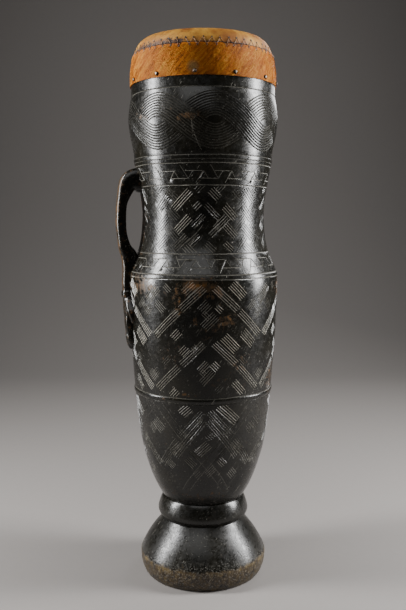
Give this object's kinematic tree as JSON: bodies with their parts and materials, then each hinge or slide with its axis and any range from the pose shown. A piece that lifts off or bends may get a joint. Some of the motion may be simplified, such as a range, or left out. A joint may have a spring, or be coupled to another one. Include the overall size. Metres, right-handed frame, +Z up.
{
  "type": "pedestal drum",
  "caption": "Tall carved wooden pedestal drum with an arm-shaped handle, a rawhide head, a collar of haired hide, lacing and dome nails.",
  "frame": {"origin": "middle of the flat underside of the foot", "axes": "+Z up along the drum's axis to its head; the arm-shaped handle points to -X; the side with the fullest carving faces 13 degrees from -Y towards -X"},
  "size_m": [0.344, 0.317, 1.1298],
  "materials": {
    "dark_wood": "hand-rubbed dark patina, worn brown on the high places",
    "rawhide": "stretched and scraped, satin",
    "haired_hide": "short hair left on, worn in patches",
    "sinew": "twisted and dry",
    "nail_iron": "hand-forged, browned"
  },
  "bodies": {
    "root": {"drum_body": "dark_wood", "head_skin": "rawhide", "hide_collar": "haired_hide", "lacing": "sinew", "nail_01": "nail_iron", "nail_02": "nail_iron", "nail_03": "nail_iron", "nail_04": "nail_iron", "nail_05": "nail_iron", "nail_06": "nail_iron", "nail_07": "nail_iron", "nail_08": "nail_iron", "nail_09": "nail_iron", "nail_10": "nail_iron", "nail_11": "nail_iron", "nail_12": "nail_iron"}
  },
  "joints": []
}
